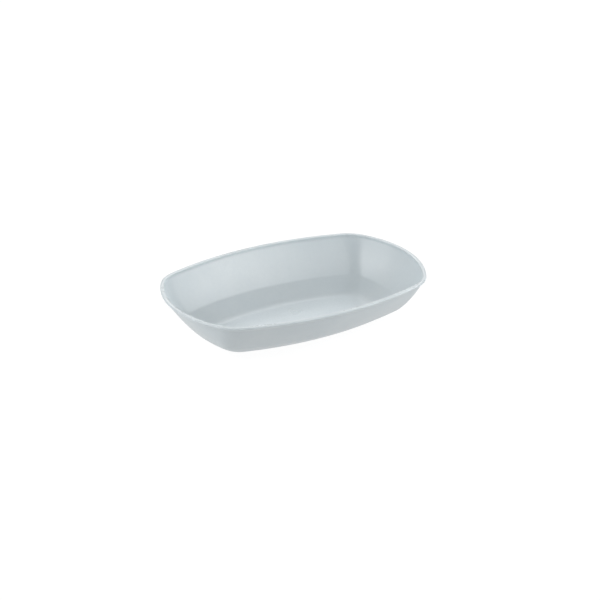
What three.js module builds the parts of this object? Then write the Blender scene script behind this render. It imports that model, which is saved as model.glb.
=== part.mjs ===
// One-piece moulded ward dish, of the kind kept with the kidney dishes on a hospital ward.
// A single polypropylene moulding: a flat floor on a low foot ring, a wall that leans outwards all
// round, gently up to a knee and more steeply above it, and a rounded lip that stands a little
// proud of the wall. Millimetres, +Z up, origin at the middle of the plane that the foot stands on,
// +X along the length.
import * as THREE from 'three';

// Overall sizes, over the lip.
const LENGTH = 250;
const WIDTH = 167;
const HEIGHT = 45.6;

// Skin thicknesses.
const WALL = 1.8;
const FLOOR = 2;

// Plan of the lip: four bowed sides and four corners, each an arc that runs into the next.
const LIP_SIDE_RADIUS = 288;
const LIP_END_RADIUS = 100;
const LIP_CORNER_RADIUS = 36;

// Plan of the foot, where the outer face's lower slope would meet the table.
const WALL_LEAN = 41.5; // from the wall's top in to there
const FOOT_SIDE_RADIUS = 257;
const FOOT_END_RADIUS = 136;
const FOOT_CORNER_RADIUS = 15.5;

// The lip: a rounded flange over the wall's top, with a short upright collar inside it.
const LIP_WIDTH = 4;
const LIP_CROWN_RADIUS = 4.5; // over the top
const LIP_OUTER_RADIUS = 1.3; // crown to underside
const LIP_INNER_RADIUS = 0.9; // crown to collar
const LIP_STEP = 3; // how far the lip stands out past the wall's top
const LIP_DEPTH = 4.4; // from the crest down to the wall's top

// The wall and the foot, given for the outer face.
const LOWER_SLOPE = THREE.MathUtils.degToRad(33.5); // from level, below the knee
const KNEE_HEIGHT = 12.6; // where the lower slope and the upper bow would cross
const KNEE_RADIUS = 16; // between the two
const WALL_BOW_RADIUS = 170; // above the knee the wall is an arc of this radius
const HEEL_RADIUS = 22.5; // outside, between foot and wall
const FLOOR_RADIUS = 20; // inside, between floor and wall
const FOOT_WIDTH = 4.5; // flat of the ring that the dish stands on
const FOOT_HEIGHT = 0.8; // how far the panel inside the ring is lifted
const FOOT_SLOPE = 1.2; // width of the ramp between the two

// Fineness of the faceted solid.
const RING_POINTS = 96; // a multiple of four keeps the dish the same on both sides
const STEPS = { heel: 5, knee: 3, bow: 4, edge: 3, crown: 2, floor: 5 };

const DISH_COLOUR = 0xc3cdd1;

// The section is drawn as points (reach, height), where reach runs outwards from the upright axis
// and is half the width at the lip's outer face. An inset is measured in from that face.
const reachOf = (inset) => WIDTH / 2 - inset;
const TOP_HEIGHT = HEIGHT - LIP_DEPTH;
const FOOT_INSET = LIP_STEP + WALL_LEAN;
const DOWN = -Math.PI / 2;

// The lower slope of the outer face, as a line that starts where it would meet the table.
const SLOPE_START = new THREE.Vector2(reachOf(FOOT_INSET), 0);
const SLOPE_ALONG = new THREE.Vector2(Math.cos(LOWER_SLOPE), Math.sin(LOWER_SLOPE));
const SLOPE_INWARD = new THREE.Vector2(-SLOPE_ALONG.y, SLOPE_ALONG.x);

const angleTo = (from, to) => Math.atan2(to.y - from.y, to.x - from.x);

// Centre of the upper wall's bow, on the inner side of the line from the knee to the wall's top.
function bowCentre() {
  const knee = SLOPE_START.clone().addScaledVector(SLOPE_ALONG, KNEE_HEIGHT / SLOPE_ALONG.y);
  const top = new THREE.Vector2(reachOf(LIP_STEP), TOP_HEIGHT);
  const chord = top.clone().sub(knee);
  const inward = new THREE.Vector2(-chord.y, chord.x).normalize();
  const depth = Math.sqrt(WALL_BOW_RADIUS ** 2 - chord.lengthSq() / 4);
  return knee.add(top).multiplyScalar(0.5).addScaledVector(inward, depth);
}

// Centre of the knee's round, which touches the lower slope and the bow from inside.
function kneeCentre(bow) {
  const start = SLOPE_START.clone().addScaledVector(SLOPE_INWARD, KNEE_RADIUS);
  const toStart = start.clone().sub(bow);
  const half = toStart.dot(SLOPE_ALONG);
  const reach = Math.sqrt(half ** 2 - toStart.lengthSq() + (WALL_BOW_RADIUS - KNEE_RADIUS) ** 2);
  return start.addScaledVector(SLOPE_ALONG, reach - half);
}

// Centre of a round between a level surface and a face that runs parallel to the lower slope.
function slopeFoot(level, offset, radius) {
  const face = SLOPE_START.clone().addScaledVector(SLOPE_INWARD, offset + radius);
  return face.addScaledVector(SLOPE_ALONG, (level + radius - face.y) / SLOPE_ALONG.y);
}

// Point at an angle on an arc, and evenly spaced points along it with both ends included.
function onArc(centre, radius, angle) {
  return new THREE.Vector2(
    centre.x + radius * Math.cos(angle),
    centre.y + radius * Math.sin(angle),
  );
}

function arc(centre, radius, from, to, steps) {
  return Array.from({ length: steps + 1 }, (_, i) => {
    return onArc(centre, radius, from + ((to - from) * i) / steps);
  });
}

// The rounds of the lip, from the underside over the crown to the collar. Each edge's round sits
// inside the crown's arc and touches it.
function lipArcs() {
  const crown = new THREE.Vector2(reachOf(LIP_WIDTH / 2), HEIGHT - LIP_CROWN_RADIUS);
  const roundAt = (inset, radius) => {
    const reach = reachOf(inset);
    const rise = Math.sqrt((LIP_CROWN_RADIUS - radius) ** 2 - (reach - crown.x) ** 2);
    return new THREE.Vector2(reach, crown.y + rise);
  };
  const outer = roundAt(LIP_OUTER_RADIUS, LIP_OUTER_RADIUS);
  const inner = roundAt(LIP_WIDTH - LIP_INNER_RADIUS, LIP_INNER_RADIUS);
  const crownStart = angleTo(crown, outer);
  const crownEnd = angleTo(crown, inner);
  return [
    ...arc(outer, LIP_OUTER_RADIUS, DOWN * 0.6, 0, STEPS.edge),
    ...arc(outer, LIP_OUTER_RADIUS, 0, crownStart, STEPS.edge).slice(1),
    ...arc(crown, LIP_CROWN_RADIUS, crownStart, -DOWN, STEPS.crown).slice(1),
    ...arc(crown, LIP_CROWN_RADIUS, -DOWN, crownEnd, STEPS.crown).slice(1),
    ...arc(inner, LIP_INNER_RADIUS, crownEnd, Math.PI, STEPS.edge).slice(1),
  ];
}

// The closed upright section, from the axis under the panel, round the outside, over the lip and
// back along the inside to the axis, with the reach at which each flat begins.
function section() {
  const slopeAngle = DOWN + LOWER_SLOPE;
  const bow = bowCentre();
  const knee = kneeCentre(bow);
  const kneeEnd = angleTo(bow, knee);
  const topAngle = Math.asin((TOP_HEIGHT - bow.y) / WALL_BOW_RADIUS);

  const heel = slopeFoot(0, 0, HEEL_RADIUS);
  const ringInner = heel.x - FOOT_WIDTH;
  const panelReach = ringInner - FOOT_SLOPE;

  const corner = slopeFoot(FLOOR, WALL, FLOOR_RADIUS);
  const innerBow = WALL_BOW_RADIUS - WALL;
  const collarAngle = -Math.acos((reachOf(LIP_WIDTH) - bow.x) / innerBow);

  const outside = [
    new THREE.Vector2(0, FOOT_HEIGHT),
    new THREE.Vector2(panelReach, FOOT_HEIGHT),
    new THREE.Vector2(ringInner, 0),
    ...arc(heel, HEEL_RADIUS, DOWN, slopeAngle, STEPS.heel),
    ...arc(knee, KNEE_RADIUS, slopeAngle, kneeEnd, STEPS.knee),
    ...arc(bow, WALL_BOW_RADIUS, kneeEnd, topAngle, STEPS.bow).slice(1),
    ...lipArcs(),
  ];
  const inside = [
    ...arc(bow, innerBow, collarAngle, kneeEnd, STEPS.bow),
    ...arc(knee, KNEE_RADIUS - WALL, kneeEnd, slopeAngle, STEPS.knee).slice(1),
    ...arc(corner, FLOOR_RADIUS, slopeAngle, DOWN, STEPS.floor),
    new THREE.Vector2(0, FLOOR),
  ];
  return [
    ...outside.map((point) => ({ point, flatReach: panelReach })),
    ...inside.map((point) => ({ point, flatReach: corner.x })),
  ];
}

// Radii of the plan at an inset. The sides and the ends run parallel to the lip's outer face
// across the lip, then change evenly down the wall to those of the foot. A corner runs parallel
// until it is as tight as the foot's, but is no rounder than the bowed side leaves room for.
function planRadii(inset) {
  const across = Math.min(inset, LIP_STEP);
  const share = Math.max(0, inset - LIP_STEP) / WALL_LEAN;
  const side = THREE.MathUtils.lerp(LIP_SIDE_RADIUS - across, FOOT_SIDE_RADIUS, share);
  const end = THREE.MathUtils.lerp(LIP_END_RADIUS - across, FOOT_END_RADIUS, share);
  const halfWidth = WIDTH / 2 - inset;
  const halfLength = LENGTH / 2 - inset;
  const room = 2 * side * halfWidth - halfWidth ** 2 - halfLength ** 2;
  const roomiest = room / (2 * (side - halfLength));
  const corner = Math.min(Math.max(LIP_CORNER_RADIUS - inset, FOOT_CORNER_RADIUS), roomiest);
  return { side, end, corner };
}

// One quarter of the plan at an inset, as a function that gives the point whose outward normal
// stands at an angle between 0, at the +X end, and a quarter turn, at the +Y side.
function quarterPlan(inset) {
  const { side, end, corner } = planRadii(inset);
  const sideCentre = new THREE.Vector2(0, WIDTH / 2 - inset - side);
  const endCentre = new THREE.Vector2(LENGTH / 2 - inset - end, 0);
  // The corner touches both bowed sides from inside, so its centre is where two circles cross.
  const between = endCentre.clone().sub(sideCentre);
  const span = between.length();
  const along = (span ** 2 + (side - corner) ** 2 - (end - corner) ** 2) / (2 * span);
  const across = Math.sqrt((side - corner) ** 2 - along ** 2);
  const unit = between.normalize();
  const cornerCentre = new THREE.Vector2(unit.y, -unit.x)
    .multiplyScalar(across)
    .addScaledVector(unit, along)
    .add(sideCentre);
  const cornerStart = angleTo(endCentre, cornerCentre);
  const cornerEnd = angleTo(sideCentre, cornerCentre);
  return (angle) => {
    if (angle < cornerStart) return onArc(endCentre, end, angle);
    if (angle < cornerEnd) return onArc(cornerCentre, corner, angle);
    return onArc(sideCentre, side, angle);
  };
}

// The whole ring at an inset, mirrored from its quarter so that both halves match exactly.
function ringPlan(inset) {
  const pointAt = quarterPlan(inset);
  const quarter = RING_POINTS / 4;
  return Array.from({ length: RING_POINTS }, (_, i) => {
    const turn = Math.floor(i / quarter);
    const within = turn % 2 === 0 ? i % quarter : quarter - (i % quarter);
    const p = pointAt((within / quarter) * (Math.PI / 2));
    return new THREE.Vector2(turn === 1 || turn === 2 ? -p.x : p.x, turn >= 2 ? -p.y : p.y);
  });
}

// The solid: the section is turned about the upright axis as on a lathe, then each of its rings is
// drawn from a circle to the plan at its own inset. Across a flat, the plan at the flat's edge
// shrinks evenly to the middle.
function dishGeometry() {
  const stations = section();
  const rings = stations.map(({ point, flatReach }) => {
    const shrink = Math.min(1, point.x / flatReach);
    const plan = ringPlan(reachOf(Math.max(point.x, flatReach)));
    return plan.map((p) => p.multiplyScalar(shrink));
  });
  const geometry = new THREE.LatheGeometry(stations.map(({ point }) => point), RING_POINTS);
  const position = geometry.getAttribute('position');
  for (let i = 0; i < position.count; i += 1) {
    const station = i % stations.length;
    const p = rings[station][Math.floor(i / stations.length) % RING_POINTS];
    position.setXYZ(i, p.x, p.y, stations[station].point.y);
  }
  geometry.computeVertexNormals();
  return geometry;
}

const plastic = new THREE.MeshStandardMaterial({
  name: 'satin_polypropylene',
  color: DISH_COLOUR,
  roughness: 0.45,
  metalness: 0,
});

const dish = new THREE.Mesh(dishGeometry(), plastic);
dish.name = 'dish_body';

const wardDish = new THREE.Group();
wardDish.add(dish);

export default wardDish;
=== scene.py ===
import math
import bmesh
import bpy
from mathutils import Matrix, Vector


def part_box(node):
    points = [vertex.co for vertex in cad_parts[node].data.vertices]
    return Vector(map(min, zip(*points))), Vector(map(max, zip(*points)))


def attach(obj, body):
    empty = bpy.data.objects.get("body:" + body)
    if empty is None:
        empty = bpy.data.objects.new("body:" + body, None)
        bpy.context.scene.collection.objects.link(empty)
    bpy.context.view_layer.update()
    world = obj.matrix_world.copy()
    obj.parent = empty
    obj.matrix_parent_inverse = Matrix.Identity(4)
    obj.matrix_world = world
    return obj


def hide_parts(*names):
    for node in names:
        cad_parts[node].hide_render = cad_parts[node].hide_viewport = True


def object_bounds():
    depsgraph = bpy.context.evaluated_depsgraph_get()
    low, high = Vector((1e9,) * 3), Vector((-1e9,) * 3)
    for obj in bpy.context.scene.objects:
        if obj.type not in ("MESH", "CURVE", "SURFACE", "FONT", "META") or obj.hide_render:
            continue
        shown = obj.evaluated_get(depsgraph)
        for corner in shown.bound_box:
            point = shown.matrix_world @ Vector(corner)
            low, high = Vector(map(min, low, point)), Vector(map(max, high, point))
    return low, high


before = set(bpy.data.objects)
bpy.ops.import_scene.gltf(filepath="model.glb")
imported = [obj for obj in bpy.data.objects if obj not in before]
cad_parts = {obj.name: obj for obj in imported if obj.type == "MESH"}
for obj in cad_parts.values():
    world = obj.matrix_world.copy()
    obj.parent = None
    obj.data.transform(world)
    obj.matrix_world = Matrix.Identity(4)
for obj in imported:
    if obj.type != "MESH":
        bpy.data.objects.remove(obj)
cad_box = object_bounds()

# ---------------------------------------------------------------------------------------------
# Camera.
# A long lens well back from the dish, above its front left corner, so that the near long side,
# the left end and the floor show, with almost no perspective.
# ---------------------------------------------------------------------------------------------
middle = (Vector(cad_box[0]) + Vector(cad_box[1])) / 2
camera_azimuth = math.radians(-29.99)
camera_elevation = math.radians(24.93)
camera_distance = 2.809
towards_camera = Vector((
    math.sin(camera_azimuth) * math.cos(camera_elevation),
    -math.cos(camera_azimuth) * math.cos(camera_elevation),
    math.sin(camera_elevation),
))

camera_data = bpy.data.cameras.new("camera")
camera_data.lens = 183.7
camera_data.sensor_width = 36.0
camera_data.shift_x = 0.01026
camera_data.shift_y = 0.0027
camera = bpy.data.objects.new("camera", camera_data)
camera.location = middle + towards_camera * camera_distance
camera.rotation_euler = (-towards_camera).to_track_quat("-Z", "Y").to_euler()
bpy.context.scene.collection.objects.link(camera)
bpy.context.scene.camera = camera

# ---------------------------------------------------------------------------------------------
# Dish.
# The whole object is one injection moulding in polypropylene: a flat floor on a low foot ring, a
# wall that leans out gently to a knee and more steeply above it, and a rounded lip. It is drawn
# as one upright section, spun round, and pulled out to the plan of the real dish.
# ---------------------------------------------------------------------------------------------
mm = 0.001
dish_low, dish_high = (Vector(corner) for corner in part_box("dish_body"))
length = dish_high.x - dish_low.x
width = dish_high.y - dish_low.y
height = dish_high.z - dish_low.z
wall = 1.8 * mm
floor_level = 2 * mm

# Plan: four bowed sides and four corners, at the lip and where the lower slope meets the table.
lip_side_radius = 288 * mm
lip_end_radius = 100 * mm
lip_corner_radius = 36 * mm
foot_side_radius = 257 * mm
foot_end_radius = 136 * mm
foot_corner_radius = 15.5 * mm

lip_width = 4 * mm
lip_crown_radius = 4.5 * mm
lip_outer_radius = 1.3 * mm
lip_inner_radius = 0.9 * mm
lip_step = 3 * mm
lip_depth = 4.4 * mm
lip_underside = math.radians(-54)

wall_lean = 41.5 * mm
lower_slope = math.radians(33.5)
knee_height = 12.6 * mm
knee_radius = 16 * mm
wall_bow_radius = 170 * mm
heel_radius = 22.5 * mm
floor_radius = 20 * mm
foot_width = 4.5 * mm
foot_height = 0.8 * mm
foot_slope = 1.2 * mm

# The gate's dimple is under the middle. The floor's round mark sits off the middle.
gate_radius = 4.5 * mm
gate_depth = 0.35 * mm
gate_nub = 1.0 * mm
gate_nub_foot = 1.3 * mm
gate_field = 11.25 * mm
mark_centre = Vector((12.9, 20)) * mm
mark_radius = 6 * mm
mark_width = 0.8 * mm
mark_height = 0.12 * mm
mark_draft = 0.2 * mm
mark_boss = 1.6 * mm
mark_field = 8 * mm

# The tool's small radii, where two faces of the section meet at an angle.
foot_edge_radius = 0.5 * mm
under_lip_radius = 1.2 * mm
collar_radius = 0.8 * mm

ring_steps = 384


def reach_of(inset):
    return width / 2 - inset


def in_section(reach, level):
    return Vector((reach, 0, level))


def angle_of(point, centre):
    return math.atan2(point.z - centre.z, point.x - centre.x)


# The lower slope of the outer face, and the arc that the wall follows from the knee to the lip.
slope_start = in_section(reach_of(lip_step + wall_lean), 0)
slope_along = in_section(math.cos(lower_slope), math.sin(lower_slope))
slope_inward = in_section(-slope_along.z, slope_along.x)
slope_angle = lower_slope - math.pi / 2
wall_top = in_section(reach_of(lip_step), height - lip_depth)
wall_knee = slope_start + slope_along * (knee_height / slope_along.z)
chord = wall_top - wall_knee
bow_rise = math.sqrt(wall_bow_radius ** 2 - chord.length_squared / 4)
bow = (wall_top + wall_knee) / 2 + in_section(-chord.z, chord.x).normalized() * bow_rise

# The rounds that touch the slope from inside: at the knee, the heel and the edge of the floor.
knee_start = slope_start + slope_inward * knee_radius
to_start = knee_start - bow
half = to_start.dot(slope_along)
run = math.sqrt(half ** 2 - to_start.length_squared + (wall_bow_radius - knee_radius) ** 2) - half
knee = knee_start + slope_along * run
knee_end = angle_of(knee, bow)


def slope_foot(level, offset, radius):
    face = slope_start + slope_inward * (offset + radius)
    return face + slope_along * ((level + radius - face.z) / slope_along.z)


heel = slope_foot(0, 0, heel_radius)
corner = slope_foot(floor_level, wall, floor_radius)
ring_inner = heel.x - foot_width
panel_reach = ring_inner - foot_slope
collar_angle = -math.acos((reach_of(lip_width) - bow.x) / (wall_bow_radius - wall))
collar_level = bow.z + (wall_bow_radius - wall) * math.sin(collar_angle)

# The lip's crown, and the rounds that sit inside it and touch it on either side.
crown = in_section(reach_of(lip_width / 2), height - lip_crown_radius)


def round_in_crown(inset, radius):
    reach = reach_of(inset)
    rise = math.sqrt((lip_crown_radius - radius) ** 2 - (reach - crown.x) ** 2)
    return in_section(reach, crown.z + rise)


outer_round = round_in_crown(lip_outer_radius, lip_outer_radius)
inner_round = round_in_crown(lip_width - lip_inner_radius, lip_inner_radius)

# The section starts under the middle of the panel and runs round the outside, over the lip and
# back along the floor. The pen is the vertex that the next line or arc grows from.
gate_level = foot_height + gate_depth
dish_mesh = bmesh.new()
pen = dish_mesh.verts.new(in_section(0, gate_level - gate_depth / 2))


def line_to(reach, level, steps=1):
    global pen
    start = pen.co.copy()
    for step in range(1, steps + 1):
        pen = bmesh.ops.extrude_vert_indiv(dish_mesh, verts=[pen])["verts"][0]
        pen.co = start.lerp(in_section(reach, level), step / steps)
    return pen


def arc_about(centre, angle, steps):
    global pen
    spun = bmesh.ops.spin(
        dish_mesh, geom=[pen], cent=centre, axis=(0, -1, 0), angle=angle, steps=steps,
    )["geom_last"]
    pen = [item for item in spun if isinstance(item, bmesh.types.BMVert)][0]
    return pen


# Underside: the gate's nub in its dimple, the panel, the ramp down to the foot ring, and the ring.
line_to(gate_nub, gate_level - gate_depth / 2)
line_to(gate_nub_foot, gate_level)
line_to(gate_radius - gate_depth, gate_level)
line_to(gate_radius, foot_height)
line_to(gate_field, foot_height)
line_to(panel_reach - foot_slope, foot_height, 6)
panel_edge = line_to(panel_reach, foot_height)
ring_edge = line_to(ring_inner, 0)
line_to(ring_inner + foot_slope, 0)
line_to(heel.x, 0, 3)

# Outside: the heel, the lower slope, the knee, the bowed wall, and the lip round to its collar.
crown_start = angle_of(outer_round, crown)
crown_end = angle_of(inner_round, crown)
arc_about(heel, lower_slope, 14)
slope_end = knee + in_section(math.cos(slope_angle), math.sin(slope_angle)) * knee_radius
line_to(slope_end.x, slope_end.z, 4)
arc_about(knee, knee_end - slope_angle, 8)
arc_about(bow, angle_of(wall_top, bow) - knee_end, 18)
under_lip = pen
lip_facing = in_section(math.cos(lip_underside), math.sin(lip_underside))
lip_start = outer_round + lip_facing * lip_outer_radius
line_to(lip_start.x, lip_start.z)
arc_about(outer_round, crown_start - lip_underside, 10)
arc_about(crown, crown_end - crown_start, 8)
arc_about(inner_round, math.pi - crown_end, 8)
collar_foot = line_to(reach_of(lip_width), collar_level)

# Inside: the wall, the knee, the slope, the curve into the floor, and the round mark's ring.
arc_about(bow, knee_end - collar_angle, 20)
arc_about(knee, slope_angle - knee_end, 8)
slope_end = corner + in_section(math.cos(slope_angle), math.sin(slope_angle)) * floor_radius
line_to(slope_end.x, slope_end.z, 4)
arc_about(corner, -lower_slope, 14)
line_to(mark_field, floor_level, 10)
line_to(mark_radius, floor_level)
line_to(mark_radius - mark_draft, floor_level + mark_height)
line_to(mark_radius - mark_width + mark_draft, floor_level + mark_height)
line_to(mark_radius - mark_width, floor_level)
line_to(mark_boss, floor_level)
line_to(mark_boss - mark_draft, floor_level + mark_height)
line_to(0, floor_level + mark_height)

for corners, radius in (
    ((panel_edge, ring_edge), foot_edge_radius),
    ((under_lip,), under_lip_radius),
    ((collar_foot,), collar_radius),
):
    bmesh.ops.bevel(
        dish_mesh, geom=list(corners), affect="VERTICES", offset=radius, offset_type="OFFSET",
        segments=4, profile=0.5, material=-1,
    )

bmesh.ops.spin(
    dish_mesh, geom=dish_mesh.verts[:] + dish_mesh.edges[:], cent=(0, 0, 0), axis=(0, 0, 1),
    angle=math.tau, steps=ring_steps, use_merge=True,
)
bmesh.ops.remove_doubles(dish_mesh, verts=dish_mesh.verts[:], dist=1e-6)


def plan_point(inset, turn):
    """Point of the plan whose outward normal stands at a turn of 0 to 90 degrees from +X."""
    across = min(inset, lip_step)
    share = max(0.0, inset - lip_step) / wall_lean
    side = (lip_side_radius - across) * (1 - share) + foot_side_radius * share
    end = (lip_end_radius - across) * (1 - share) + foot_end_radius * share
    tight = max(lip_corner_radius - inset, foot_corner_radius)
    side_centre = Vector((0, width / 2 - inset - side))
    end_centre = Vector((length / 2 - inset - end, 0))
    between = end_centre - side_centre
    along = (between.length_squared + (side - tight) ** 2 - (end - tight) ** 2) / (2 * between.length)
    off = math.sqrt((side - tight) ** 2 - along ** 2)
    unit = between.normalized()
    tight_centre = side_centre + unit * along + Vector((unit.y, -unit.x)) * off
    facing = Vector((math.cos(turn), math.sin(turn)))
    if turn < math.atan2(*(tight_centre - end_centre).yx):
        return end_centre + facing * end
    if turn < math.atan2(*(tight_centre - side_centre).yx):
        return tight_centre + facing * tight
    return side_centre + facing * side


# Each ring of the spun shape is drawn out to the plan at its own inset. Across a flat, the plan
# at the flat's edge shrinks and turns round again for the gate below and the mark above.
for vert in dish_mesh.verts:
    spun = vert.co.xy
    reach = spun.length
    upper = vert.co.z > floor_level - 1e-6
    flat_reach = corner.x if upper else panel_reach
    round_centre = mark_centre if upper else Vector((0, 0))
    round_reach = mark_field if upper else gate_field
    turn = math.atan2(abs(spun.y), abs(spun.x))
    plan = plan_point(reach_of(max(reach, flat_reach)), turn)
    plan = Vector([0.0 if abs(s) < 1e-9 else math.copysign(p, s) for p, s in zip(plan, spun)])
    if reach < flat_reach:
        spread = max(0.0, (reach - round_reach) / (flat_reach - round_reach))
        plan = (round_centre + spun).lerp(plan * reach / flat_reach, spread)
    vert.co.xy = plan

bmesh.ops.recalc_face_normals(dish_mesh, faces=dish_mesh.faces[:])
for face in dish_mesh.faces:
    face.smooth = True
dish_data = bpy.data.meshes.new("dish")
dish_mesh.to_mesh(dish_data)
dish_mesh.free()
dish = bpy.data.objects.new("dish", dish_data)
bpy.context.scene.collection.objects.link(dish)


def linear(code):
    """Linear RGBA from an sRGB hex code."""
    parts = [int(code[i:i + 2], 16) / 255 for i in (1, 3, 5)]
    return [p / 12.92 if p <= 0.04045 else ((p + 0.055) / 1.055) ** 2.4 for p in parts] + [1.0]


def add_node(tree, kind, settings, links):
    """Add one node. Settings go to its options or sockets, and links join its sockets to outputs."""
    made = tree.nodes.new(kind)
    for name, value in settings.items():
        if isinstance(name, int) or name in made.inputs:
            made.inputs[name].default_value = value
        else:
            setattr(made, name, value)
    for name, output in links.items():
        tree.links.new(output, made.inputs[name])
    return made


# Injection-moulded satin polypropylene, from a spark-eroded tool. It gives the eye a soft, slightly
# waxy sheen with a fine even grain, faint clouds where the colour masterbatch flowed out from the
# gate, a lip that handling has burnished a little paler, and a floor and foot with light scratches.
plastic = bpy.data.materials.new("satin_polypropylene")
plastic.use_nodes = True
tree = plastic.node_tree
place = add_node(tree, "ShaderNodeTexCoord", {}, {}).outputs["Object"]
level = add_node(tree, "ShaderNodeSeparateXYZ", {}, {0: place}).outputs["Z"]

cloud_size = 45 * mm
mottle_size = 3 * mm
grain_size = 0.7 * mm  # the real grain is about 0.1 mm, too fine to show, so it is drawn coarser
speckle_size = 1.6 * mm  # the real pits are about 0.3 mm, drawn coarser in the same way
scratch_length = 22 * mm
scratch_spacing = 1.1 * mm
scratch_directions = (0.5, -0.9, 2.3)

clouds = add_node(
    tree, "ShaderNodeTexNoise",
    {"Scale": 1 / cloud_size, "Detail": 4.0, "Roughness": 0.55, "Distortion": 0.6},
    {"Vector": place},
).outputs[0]
mottle = add_node(
    tree, "ShaderNodeTexNoise", {"Scale": 1 / mottle_size, "Detail": 3.0}, {"Vector": place},
).outputs[0]
grain = add_node(
    tree, "ShaderNodeTexNoise", {"Scale": 1 / grain_size, "Detail": 2.0, "Roughness": 0.6},
    {"Vector": place},
).outputs[0]

# Scratches: noise drawn out along three directions, of which only the thin crests are kept.
scratches = None
for turn in scratch_directions:
    drawn_out = add_node(
        tree, "ShaderNodeMapping",
        {"Rotation": (0, 0, turn), "Scale": (1 / scratch_length, 1 / scratch_spacing, 40)},
        {"Vector": place},
    ).outputs[0]
    crests = add_node(
        tree, "ShaderNodeTexNoise", {"Scale": 1.0, "Detail": 1.0}, {"Vector": drawn_out},
    ).outputs[0]
    thin = add_node(
        tree, "ShaderNodeMapRange", {"From Min": 0.69, "From Max": 0.74}, {"Value": crests},
    ).outputs[0]
    if scratches is None:
        scratches = thin
    else:
        scratches = add_node(
            tree, "ShaderNodeMath", {"operation": "MAXIMUM"}, {0: scratches, 1: thin},
        ).outputs[0]

# Only the low parts are scratched, inside by what is dropped there and outside by the shelf.
low_down = add_node(
    tree, "ShaderNodeMapRange", {"From Min": 6 * mm, "From Max": 3 * mm}, {"Value": level},
).outputs[0]
scratches = add_node(
    tree, "ShaderNodeMath", {"operation": "MULTIPLY"}, {0: scratches, 1: low_down},
).outputs[0]

# Where the dish is rubbed: the top of the lip by hands and cloths, the foot ring by the shelf.
lip_wear = add_node(
    tree, "ShaderNodeMapRange", {"From Min": height - 1.0 * mm, "From Max": height},
    {"Value": level},
).outputs[0]
foot_wear = add_node(
    tree, "ShaderNodeMapRange", {"From Min": 0.5 * mm, "From Max": 0.0}, {"Value": level},
).outputs[0]
either_wear = add_node(
    tree, "ShaderNodeMath", {"operation": "MAXIMUM"}, {0: lip_wear, 1: foot_wear},
).outputs[0]
wear = add_node(
    tree, "ShaderNodeMath", {"operation": "MULTIPLY"}, {0: either_wear, 1: mottle},
).outputs[0]

cloud_share = add_node(
    tree, "ShaderNodeMapRange", {"From Min": 0.3, "From Max": 0.7}, {"Value": clouds},
).outputs[0]
flowed = add_node(
    tree, "ShaderNodeMix",
    {"data_type": "RGBA", 6: linear("#c1cace"), 7: linear("#c6ced1")}, {0: cloud_share},
).outputs[2]
mottle_share = add_node(
    tree, "ShaderNodeMapRange", {"From Min": 0.35, "From Max": 0.75, "To Max": 0.3},
    {"Value": mottle},
).outputs[0]
mottled = add_node(
    tree, "ShaderNodeMix", {"data_type": "RGBA", 7: linear("#bdc6cb")},
    {0: mottle_share, 6: flowed},
).outputs[2]
rubbed = add_node(
    tree, "ShaderNodeMix", {"data_type": "RGBA", 7: linear("#ccd3d6")}, {0: wear, 6: mottled},
).outputs[2]

# Painted light: the floor and the underside are painted a little paler, as a painted lightening for
# the light that falls on the up-facing floor, with a random speckle to them.
floor_painted_light_mask = add_node(
    tree, "ShaderNodeMapRange", {"From Min": floor_level + 0.9 * mm, "From Max": floor_level},
    {"Value": level},
).outputs[0]
speckle = add_node(
    tree, "ShaderNodeTexNoise", {"Scale": 1 / speckle_size, "Detail": 2.0, "Roughness": 0.7},
    {"Vector": place},
).outputs[0]
speckle_share = add_node(
    tree, "ShaderNodeMapRange",
    {"From Min": 0.35, "From Max": 0.65, "To Min": 0.3, "To Max": 0.55}, {"Value": speckle},
).outputs[0]
painted_floor_light_and_speckle = add_node(
    tree, "ShaderNodeMath", {"operation": "MULTIPLY"}, {0: floor_painted_light_mask, 1: speckle_share},
).outputs[0]
# Painted light: this paler grey is painted lightening, mixed in on the floor and the underside.
colour = add_node(
    tree, "ShaderNodeMix", {"data_type": "RGBA", 7: linear("#d4dde1")},
    {0: painted_floor_light_and_speckle, 6: rubbed},
).outputs[2]

# The sheen is a little sharper in the clouds' paler parts and where it is rubbed, and duller in
# scratches.
even_sheen = add_node(
    tree, "ShaderNodeMapRange",
    {"From Min": 0.3, "From Max": 0.7, "To Min": 0.35, "To Max": 0.3}, {"Value": clouds},
).outputs[0]
scratched_sheen = add_node(
    tree, "ShaderNodeMath", {"operation": "MULTIPLY_ADD", 1: 0.1}, {0: scratches, 2: even_sheen},
).outputs[0]
sheen = add_node(
    tree, "ShaderNodeMath", {"operation": "MULTIPLY_ADD", 1: -0.08},
    {0: wear, 2: scratched_sheen},
).outputs[0]

grained = add_node(
    tree, "ShaderNodeBump", {"Strength": 0.25, "Distance": 0.02 * mm}, {"Height": grain},
).outputs[0]
relief = add_node(
    tree, "ShaderNodeBump", {"Strength": 0.2, "Distance": 0.03 * mm, "invert": True},
    {"Height": scratches, "Normal": grained},
).outputs[0]

shader = tree.nodes["Principled BSDF"]
shader.inputs["IOR"].default_value = 1.49
tree.links.new(colour, shader.inputs["Base Color"])
tree.links.new(sheen, shader.inputs["Roughness"])
tree.links.new(relief, shader.inputs["Normal"])
dish_data.materials.append(plastic)

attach(dish, "root")
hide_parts("dish_body")

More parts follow.
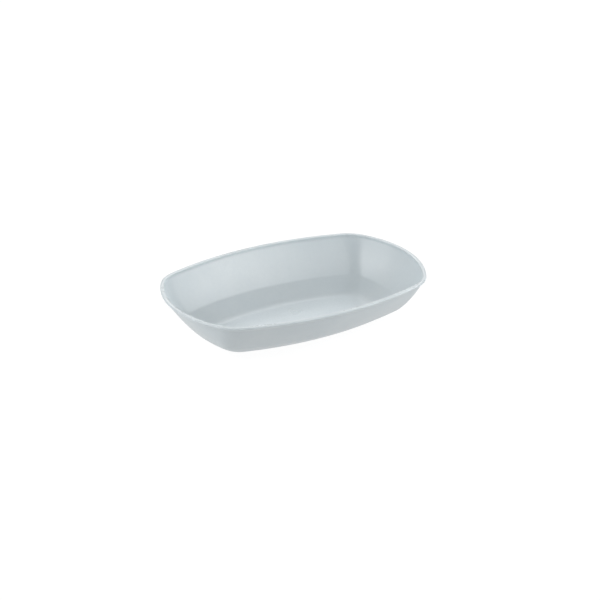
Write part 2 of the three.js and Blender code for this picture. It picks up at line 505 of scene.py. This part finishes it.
# ---------------------------------------------------------------------------------------------
# Studio.
# White paper on a light table, so that the floor stays pale with only a soft shadow, and
# softboxes on both sides and behind. Nothing hangs straight overhead.
# ---------------------------------------------------------------------------------------------
def studio_sheet(name, level, colour, glow):
    sheet_mesh = bmesh.new()
    bmesh.ops.create_grid(sheet_mesh, size=20)
    bmesh.ops.translate(sheet_mesh, verts=sheet_mesh.verts[:], vec=(0, 0, level))
    sheet_data = bpy.data.meshes.new(name)
    sheet_mesh.to_mesh(sheet_data)
    sheet_mesh.free()
    paper = bpy.data.materials.new(name)
    paper.use_nodes = True
    paper_shader = paper.node_tree.nodes["Principled BSDF"]
    paper_shader.inputs["Base Color"].default_value = linear(colour)
    paper_shader.inputs["Roughness"].default_value = 0.9
    paper_shader.inputs["Specular IOR Level"].default_value = 0.0
    paper_shader.inputs["Emission Color"].default_value = linear("#ffffff")
    paper_shader.inputs["Emission Strength"].default_value = glow
    sheet_data.materials.append(paper)
    sheet = bpy.data.objects.new(name, sheet_data)
    bpy.context.scene.collection.objects.link(sheet)
    return sheet


# The paper is only seen, and the dimmer light table under it is what lights the dish from below.
paper_sheet = studio_sheet("white_paper", -0.3 * mm, "#5c5c5c", 0.93)
paper_sheet.visible_diffuse = False
paper_sheet.visible_glossy = False
paper_sheet.visible_shadow = False
light_table = studio_sheet("light_table", -0.6 * mm, "#000000", 0.77)
light_table.visible_camera = False

# The world is the studio's far white wall. It is only seen, and lights nothing.
world = bpy.data.worlds.new("studio_wall")
world.use_nodes = True
world.node_tree.nodes["Background"].inputs["Color"].default_value = linear("#ffffff")
world.node_tree.nodes["Background"].inputs["Strength"].default_value = 0.93
world.cycles_visibility.diffuse = False
world.cycles_visibility.glossy = False
world.cycles_visibility.transmission = False
world.cycles_visibility.scatter = False
bpy.context.scene.world = world

softbox_distance = 1.8


def softbox(name, azimuth, elevation, size, power):
    """A level softbox that faces the dish. Azimuths are from the camera, to its right."""
    turn = camera_azimuth + math.radians(azimuth)
    rise = math.radians(elevation)
    away = Vector((math.sin(turn) * math.cos(rise), -math.cos(turn) * math.cos(rise), math.sin(rise)))
    data = bpy.data.lights.new(name, "AREA")
    data.shape = "RECTANGLE"
    data.size, data.size_y = size
    data.energy = power
    light = bpy.data.objects.new(name, data)
    light.location = middle + away * softbox_distance
    light.rotation_euler = away.to_track_quat("Z", "Y").to_euler()
    light.visible_camera = False
    bpy.context.scene.collection.objects.link(light)


softbox("right_front_softbox", 60, 36, (0.57, 0.5), 3.5)
softbox("right_side_softbox", 82, 36, (0.57, 0.5), 6)
softbox("right_rear_softbox", 104, 30, (0.6, 0.63), 3.5)
softbox("right_high_softbox", 62, 53, (1.54, 0.44), 8)
softbox("right_low_softbox", 83, 9.5, (1.58, 0.5), 10.5)
softbox("right_fill_softbox", 50, 14, (0.74, 0.63), 2.5)
softbox("left_front_softbox", -60, 36, (0.62, 0.5), 6.5)
softbox("left_side_softbox", -84, 36, (0.62, 0.5), 5.5)
softbox("left_rear_softbox", -102, 34, (0.47, 0.63), 3)
softbox("left_low_softbox", -62, 9, (2.05, 0.44), 12)
softbox("left_fill_softbox", -60, 22, (1.77, 0.38), 1.5)
softbox("left_far_softbox", -125, 20, (0.6, 0.96), 2)
softbox("backdrop_high_softbox", 180, 38, (1.8, 0.9), 15)
softbox("backdrop_low_softbox", 180, 9, (2.05, 0.5), 1.5)

bpy.context.scene.view_settings.view_transform = "Standard"
